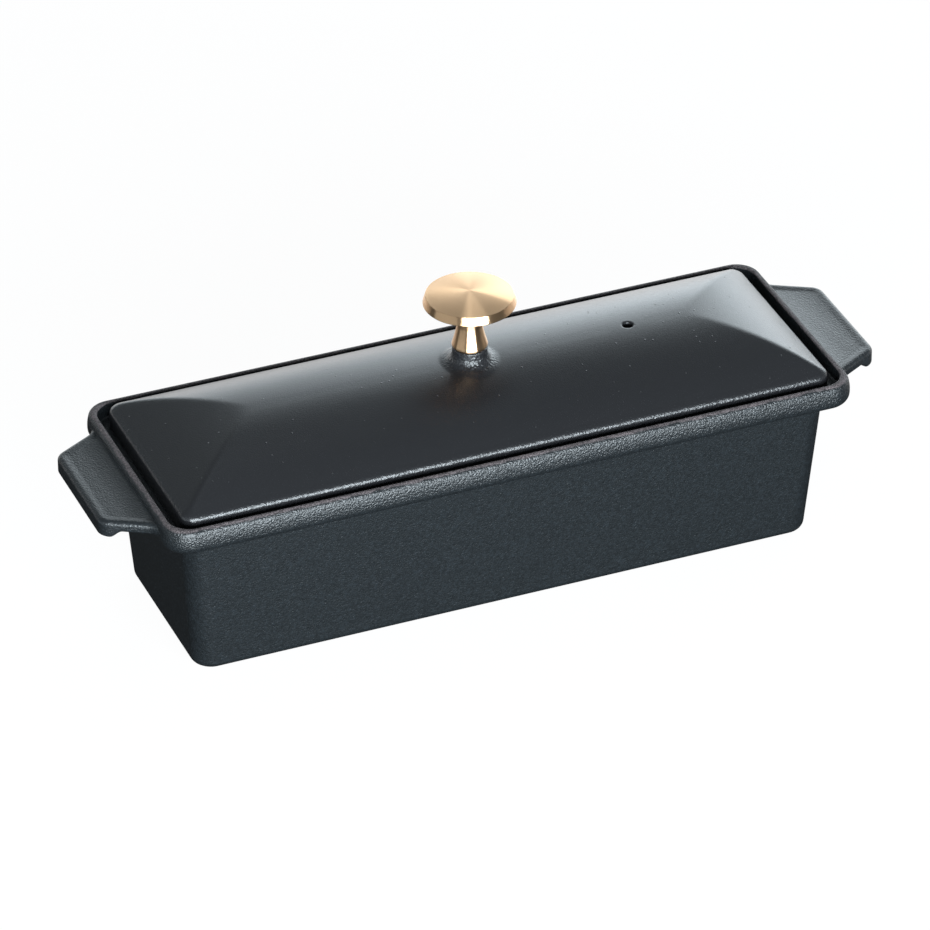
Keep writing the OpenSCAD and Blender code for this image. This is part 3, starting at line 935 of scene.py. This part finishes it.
# %% Matt black enamel on sand-cast iron
def cast_enamel():
    material, tree = new_material("matt_enamel_on_sand_cast_iron")
    shader = tree.nodes["Principled BSDF"]
    place = add(tree, "ShaderNodeTexCoord").outputs["Object"]
    where = add(tree, "ShaderNodeSeparateXYZ", links={"Vector": place})
    # Grains 0.7 mm wide on waves 7 mm wide. Real grains are half as wide, which wouldn't show
    grain = add(tree, "ShaderNodeTexNoise", links={"Vector": place},
                inputs={"Scale": per_mm(1.4), "Detail": 1.5, "Roughness": 0.55})
    waves = add(tree, "ShaderNodeTexNoise", links={"Vector": place},
                inputs={"Scale": per_mm(0.15), "Detail": 2.0})
    # The rim keeps the coarsest grain, because no flow of enamel levels it. The handles don't
    high = add(tree, "ShaderNodeMapRange", links={"Value": where.outputs["Z"]},
               inputs={"From Min": RIM_UNDERSIDE * MM, "From Max": (RIM_UNDERSIDE + 2) * MM,
                       "To Max": 0.55})
    along = add(tree, "ShaderNodeMath", {"operation": "ABSOLUTE"}, links={0: where.outputs["X"]})
    off_handle = add(tree, "ShaderNodeMapRange", links={"Value": along.outputs[0]},
                     inputs={"From Min": RIM_FACE * MM, "From Max": (RIM_FACE + 1) * MM,
                             "To Min": 1.0, "To Max": 0.0})
    coarse = add(tree, "ShaderNodeMath", {"operation": "MULTIPLY"},
                 links={0: high.outputs["Result"], 1: off_handle.outputs["Result"]})
    sand = add(tree, "ShaderNodeTexNoise", links={"Vector": place},
               inputs={"Scale": per_mm(1.4), "Detail": 1.0})
    sanded = add(tree, "ShaderNodeMath", {"operation": "MULTIPLY_ADD"},
                 links={0: sand.outputs["Fac"], 1: coarse.outputs[0], 2: grain.outputs["Fac"]})
    height = add(tree, "ShaderNodeMath", {"operation": "MULTIPLY_ADD"}, {1: 0.3},
                 {0: waves.outputs["Fac"], 2: sanded.outputs[0]})
    bump = add(tree, "ShaderNodeBump", links={"Height": height.outputs[0]},
               inputs={"Strength": 0.7, "Distance": 0.35 * MM})
    # The black drifts a little in blotches 1.4 mm wide
    blotches = add(tree, "ShaderNodeTexNoise", links={"Vector": place},
                   inputs={"Scale": per_mm(0.7), "Detail": 3.0, "Roughness": 0.7})
    tint = ramp(tree, blotches.outputs["Fac"], [(0.36, "#0F1214"), (0.5, "#131618"), (0.66, "#181C1F")])
    # The rim's flat top is wiped: browner, paler and duller, with an uneven border
    border = add(tree, "ShaderNodeMath", {"operation": "MULTIPLY_ADD"}, {1: 1.2 * MM},
                 {0: waves.outputs["Fac"], 2: where.outputs["Z"]})
    wiped = add(tree, "ShaderNodeMapRange", links={"Value": border.outputs[0]},
                inputs={"From Min": (RIM_TOP - 0.1) * MM, "From Max": (RIM_TOP + 0.4) * MM})
    brown = ramp(tree, grain.outputs["Fac"], [(0.38, "#352F30"), (0.62, "#5D5455")])
    colour = add(tree, "ShaderNodeMix", {"data_type": "RGBA"},
                 links={0: wiped.outputs["Result"], 6: tint.outputs["Color"], 7: brown.outputs["Color"]})
    dull = add(tree, "ShaderNodeMapRange", links={"Value": wiped.outputs["Result"]},
               inputs={"To Min": 0.38, "To Max": 0.7})
    tree.links.new(colour.outputs[2], shader.inputs["Base Color"])
    tree.links.new(dull.outputs["Result"], shader.inputs["Roughness"])
    tree.links.new(bump.outputs["Normal"], shader.inputs["Normal"])
    return material


# %% [markdown]
# The lid has a smoother coat of the same enamel. It is satin: it carries a broad, soft
# reflection of whatever is low behind it, with a few bright specks where grains stand up. The
# specks are the middles of a few cells of a cell pattern, because noise alone never leaves
# single grains on a smooth ground. Round the boss and along its edge the lid is as rough as the
# trough.

# %% Satin black enamel
def satin_enamel():
    material, tree = new_material("satin_black_enamel")
    shader = tree.nodes["Principled BSDF"]
    place = add(tree, "ShaderNodeTexCoord").outputs["Object"]
    where = add(tree, "ShaderNodeSeparateXYZ", links={"Vector": place})
    # A grain of 0.6 mm, and specks 3 mm apart, of which one in five is kept
    grain = add(tree, "ShaderNodeTexNoise", links={"Vector": place},
                inputs={"Scale": per_mm(1.7), "Detail": 2.0, "Roughness": 0.6})
    cells = add(tree, "ShaderNodeTexVoronoi", inputs={"Scale": per_mm(0.33)}, links={"Vector": place})
    peak = add(tree, "ShaderNodeMapRange", {"interpolation_type": "SMOOTHSTEP"},
               {"From Min": 0.0, "From Max": 0.16, "To Min": 4.0, "To Max": 0.0},
               {"Value": cells.outputs["Distance"]})
    chosen = add(tree, "ShaderNodeSeparateColor", links={"Color": cells.outputs["Color"]})
    few = add(tree, "ShaderNodeMath", {"operation": "GREATER_THAN"}, {1: 0.8}, {0: chosen.outputs[0]})
    specks = add(tree, "ShaderNodeMath", {"operation": "MULTIPLY"},
                 links={0: peak.outputs["Result"], 1: few.outputs[0]})
    # Round the boss and along the lid's edge, sand of 1 mm, twice as coarse as real, to show
    sand = add(tree, "ShaderNodeTexNoise", inputs={"Scale": per_mm(1.0), "Detail": 1.0},
               links={"Vector": place})
    level = add(tree, "ShaderNodeVectorMath", {"operation": "MULTIPLY"}, {1: (1, 1, 0)}, {0: place})
    from_axis = add(tree, "ShaderNodeVectorMath", {"operation": "LENGTH"}, links={0: level.outputs[0]})
    by_boss = add(tree, "ShaderNodeMapRange", {"interpolation_type": "SMOOTHSTEP"},
                  {"From Min": 8.5 * MM, "From Max": 13 * MM, "To Min": 8.0, "To Max": 0.0},
                  {"Value": from_axis.outputs["Value"]})
    by_edge = add(tree, "ShaderNodeMapRange", links={"Value": where.outputs["Z"]},
                  inputs={"From Min": 78.8 * MM, "From Max": 80 * MM, "To Min": 2.2, "To Max": 0.0})
    rough = add(tree, "ShaderNodeMath", {"operation": "ADD"},
                links={0: by_boss.outputs["Result"], 1: by_edge.outputs["Result"]})
    raised = add(tree, "ShaderNodeMath", {"operation": "MULTIPLY_ADD"},
                 links={0: sand.outputs["Fac"], 1: rough.outputs[0], 2: specks.outputs[0]})
    height = add(tree, "ShaderNodeMath", {"operation": "ADD"},
                 links={0: grain.outputs["Fac"], 1: raised.outputs[0]})
    bump = add(tree, "ShaderNodeBump", links={"Height": height.outputs[0]},
               inputs={"Strength": 0.4, "Distance": 0.2 * MM})
    tree.links.new(bump.outputs["Normal"], shader.inputs["Normal"])
    shader.inputs["Base Color"].default_value = linear("#171719")
    shader.inputs["Roughness"].default_value = 0.3
    return material


# %% [markdown]
# The knob is turned brass, left bare. The tool leaves fine rings round the axis, which stretch
# the reflection into streaks that run out from the middle of the face. Rings in the bump alone
# can't do that, because they are finer than a pixel, so the shader is anisotropic along a
# tangent that runs round the axis.

# %% Spun brass
def spun_brass():
    material, tree = new_material("spun_brass")
    shader = tree.nodes["Principled BSDF"]
    place = add(tree, "ShaderNodeTexCoord").outputs["Object"]
    where = add(tree, "ShaderNodeSeparateXYZ", links={"Vector": place})
    flat = add(tree, "ShaderNodeCombineXYZ", links={"X": where.outputs["X"], "Y": where.outputs["Y"]})
    radius = add(tree, "ShaderNodeVectorMath", {"operation": "LENGTH"}, links={0: flat.outputs[0]})
    # Radius plus height changes along the face and along the stem, so both get rings
    travel = add(tree, "ShaderNodeMath", {"operation": "ADD"},
                 links={0: radius.outputs["Value"], 1: where.outputs["Z"]})
    # Rings 0.24 mm wide, several times as wide as real ones, which wouldn't show
    rings = add(tree, "ShaderNodeTexNoise", {"noise_dimensions": "1D"},
                {"Scale": per_mm(4.2), "Detail": 3.0}, {"W": travel.outputs[0]})
    bump = add(tree, "ShaderNodeBump", links={"Height": rings.outputs["Fac"]},
               inputs={"Strength": 0.25, "Distance": 0.06 * MM})
    tangent = add(tree, "ShaderNodeTangent", {"direction_type": "RADIAL", "axis": "Z"})
    shader.inputs["Base Color"].default_value = linear("#DCB48C")
    shader.inputs["Metallic"].default_value = 1.0
    shader.inputs["Roughness"].default_value = 0.29
    shader.inputs["Anisotropic"].default_value = 1.0
    shader.inputs["Anisotropic Rotation"].default_value = 0.25
    tree.links.new(tangent.outputs["Tangent"], shader.inputs["Tangent"])
    tree.links.new(bump.outputs["Normal"], shader.inputs["Normal"])
    return material


# %% [markdown]
# The screw and the washer are plain bright steel, as stamped and rolled parts are. They are
# hidden under the lid, but a loose lid shows them, so their grey varies a little in patches
# 0.4 mm wide, as a handled part's does.

# %% Plain steel for the screw and the washer
def plain_steel():
    material, tree = new_material("plain_steel")
    shader = tree.nodes["Principled BSDF"]
    place = add(tree, "ShaderNodeTexCoord").outputs["Object"]
    patches = add(tree, "ShaderNodeTexNoise", inputs={"Scale": per_mm(2.5), "Detail": 2.0},
                  links={"Vector": place})
    shade = ramp(tree, patches.outputs["Fac"], [(0.3, "#A9ABAD"), (0.7, "#C6C8CA")])
    tree.links.new(shade.outputs["Color"], shader.inputs["Base Color"])
    shader.inputs["Metallic"].default_value = 1.0
    shader.inputs["Roughness"].default_value = 0.32
    return material


# %% [markdown]
# A new piece gets its material in its mesh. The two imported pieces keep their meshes, so theirs
# goes into the slots that they already have.

# %% Dress every piece
def dress(piece, material):
    piece.data.materials.clear()
    piece.data.materials.append(material)


dress(dish, cast_enamel())
dress(lid, satin_enamel())
dress(knob, spun_brass())
steel = plain_steel()
for name in ("knob_screw", "knob_washer"):
    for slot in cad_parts[name].material_slots:
        slot.material = steel
print("dressed", {p.name: p.data.materials[0].name for p in (dish, lid, knob)})

# %% [markdown]
# The stage is a white table in a white room. The camera sees the table as plain white, with a
# part of the dish's shadow. A white floor under strong lamps would wash out the black enamel,
# so its white comes from its own glow instead. Mirror-like surfaces see that glow painted by
# place: painted shade near the dish, and painted light further behind, as from a bright sweep.

# %% The table
TABLE_HALF = 6.0
TABLE_PAINT = (0.5, 0.5, 0.5, 1)
TABLE_GLOW = 0.9
TABLE_SEEN = 1.06
# Painted shade and painted light in the glow that reflections see, and where it turns from one to the
# other
TABLE_PAINTED_SHADE = 0.03
TABLE_PAINTED_LIGHT = 2.0
PAINTED_LIGHT_FROM = 0.08
PAINTED_LIGHT_TO = 0.45
BEHIND_RIGHT = (0.5, 0.866, 0.0)
WHITE = (1, 1, 1, 1)


def table_paint():
    material, tree = new_material("white_table")
    tree.nodes.remove(tree.nodes["Principled BSDF"])
    paint = add(tree, "ShaderNodeBsdfDiffuse", inputs={"Color": TABLE_PAINT})
    place = add(tree, "ShaderNodeTexCoord")
    far = add(tree, "ShaderNodeVectorMath", {"operation": "DOT_PRODUCT"}, {1: BEHIND_RIGHT},
              {0: place.outputs["Object"]})
    # Painted light and shade: the glow that mirror-like surfaces see is dark near the dish and bright
    # further behind and to the right
    painted_glow_level = add(tree, "ShaderNodeMapRange", {"interpolation_type": "SMOOTHSTEP"},
              {"From Min": PAINTED_LIGHT_FROM, "From Max": PAINTED_LIGHT_TO, "To Min": TABLE_PAINTED_SHADE, "To Max": TABLE_PAINTED_LIGHT},
              {"Value": far.outputs["Value"]})
    rays = add(tree, "ShaderNodeLightPath")
    strength = add(tree, "ShaderNodeMix", {"data_type": "FLOAT"}, {3: TABLE_SEEN},
                   {0: rays.outputs["Is Camera Ray"], 2: painted_glow_level.outputs["Result"]})
    glow = add(tree, "ShaderNodeEmission", inputs={"Color": WHITE},
               links={"Strength": strength.outputs[0]})
    mirror = add(tree, "ShaderNodeMath", {"operation": "MAXIMUM"},
                 links={0: rays.outputs["Is Glossy Ray"], 1: rays.outputs["Is Transmission Ray"]})
    share = add(tree, "ShaderNodeMath", {"operation": "MULTIPLY_ADD"}, {1: TABLE_GLOW},
                {0: rays.outputs["Is Camera Ray"], 2: mirror.outputs[0]})
    mix = add(tree, "ShaderNodeMixShader",
              links={0: share.outputs[0], 1: paint.outputs[0], 2: glow.outputs[0]})
    tree.links.new(mix.outputs[0], tree.nodes["Material Output"].inputs["Surface"])
    return material


corners = [(-TABLE_HALF, -TABLE_HALF, 0), (TABLE_HALF, -TABLE_HALF, 0),
           (TABLE_HALF, TABLE_HALF, 0), (-TABLE_HALF, TABLE_HALF, 0)]
top = bpy.data.meshes.new("table")
top.from_pydata(corners, [], [(0, 1, 2, 3)])
top.materials.append(table_paint())
table = bpy.data.objects.new("table", top)
bpy.context.scene.collection.objects.link(table)
print("table", 2 * TABLE_HALF, "m wide")

# %% [markdown]
# The room's light depends on the direction only, as in a studio with one white wall: it is
# bright low down behind the dish and at the right, where the far slope and the right end of the
# lid look, and dim above and at the left. More lamps could do that, but each would show as a
# hard-edged patch in the satin lid. The camera sees plain white.

# %% The room's light
ROOM_DIM = 0.33
ROOM_BRIGHT = 2.4
ROOM_HEIGHT = 0.65
ROOM_SIDE = (0.6, 0.95)
COOL = (0.84, 0.94, 1.0)


def room():
    world = bpy.data.worlds.new("studio")
    bpy.context.scene.world = world
    world.use_nodes = True
    tree = world.node_tree
    background = tree.nodes["Background"]
    place = add(tree, "ShaderNodeTexCoord")
    way = add(tree, "ShaderNodeSeparateXYZ", links={"Vector": place.outputs["Generated"]})
    low = add(tree, "ShaderNodeMapRange", {"interpolation_type": "SMOOTHSTEP"},
              {"From Min": 0.0, "From Max": ROOM_HEIGHT, "To Min": 1.0, "To Max": 0.0},
              {"Value": way.outputs["Z"]})
    side = add(tree, "ShaderNodeVectorMath", {"operation": "DOT_PRODUCT"}, {1: BEHIND_RIGHT},
               {0: place.outputs["Generated"]})
    behind = add(tree, "ShaderNodeMapRange", {"interpolation_type": "SMOOTHSTEP"},
                 {"From Min": ROOM_SIDE[0], "From Max": ROOM_SIDE[1], "To Min": 0.0, "To Max": 1.0},
                 {"Value": side.outputs["Value"]})
    bright = add(tree, "ShaderNodeMath", {"operation": "MULTIPLY"},
                 links={0: low.outputs["Result"], 1: behind.outputs["Result"]})
    level = add(tree, "ShaderNodeMapRange", inputs={"To Min": ROOM_DIM, "To Max": ROOM_BRIGHT},
                links={"Value": bright.outputs[0]})
    rays = add(tree, "ShaderNodeLightPath")
    seen = add(tree, "ShaderNodeMix", {"data_type": "FLOAT"}, {3: 1.0},
               {0: rays.outputs["Is Camera Ray"], 2: level.outputs["Result"]})
    tint = add(tree, "ShaderNodeMix", {"data_type": "RGBA"}, {6: (*COOL, 1), 7: WHITE},
               {0: rays.outputs["Is Camera Ray"]})
    tree.links.new(seen.outputs[0], background.inputs["Strength"])
    tree.links.new(tint.outputs[2], background.inputs["Color"])


room()
print("room from", ROOM_DIM, "to", ROOM_BRIGHT)

# %% [markdown]
# Four lamps do what the room can't. A wide softbox in front, low down, draws the long highlight
# on the rim and the bright stripe on the stem. One behind the dish lifts the far slope, a thin
# strip above gives the face of the knob its streaks, and a low one at the left lights the
# handle's edge. Each is a rectangle, because a rectangle's reflection has a straight, soft edge.

# %% The lamps
def area_light(name, towards, distance, size, power):
    """A soft rectangular lamp that faces the dish from (azimuth, elevation), with its distance
    and (width, height) in metres and its power in watts."""
    lamp = bpy.data.lights.new(name, "AREA")
    lamp.shape = "RECTANGLE"
    lamp.size, lamp.size_y = size
    lamp.energy = power
    lamp.color = COOL
    holder = bpy.data.objects.new(name, lamp)
    bpy.context.scene.collection.objects.link(holder)
    axes = facing_axes(*towards)
    put(holder, axes, axes[:, 2] * distance)
    holder.visible_camera = False
    print(name, "at", [round(v, 2) for v in holder.matrix_world.translation])


area_light("front_softbox", (-9, 12), 1.5, (1.7, 0.62), 92)
area_light("behind_softbox", (140, 21), 1.2, (0.9, 0.86), 5.5)
area_light("top_strip", (158, 78), 1.2, (0.05, 0.6), 0.15)
area_light("left_reflector", (-80, 2), 1.3, (1.5, 0.4), 4.2)
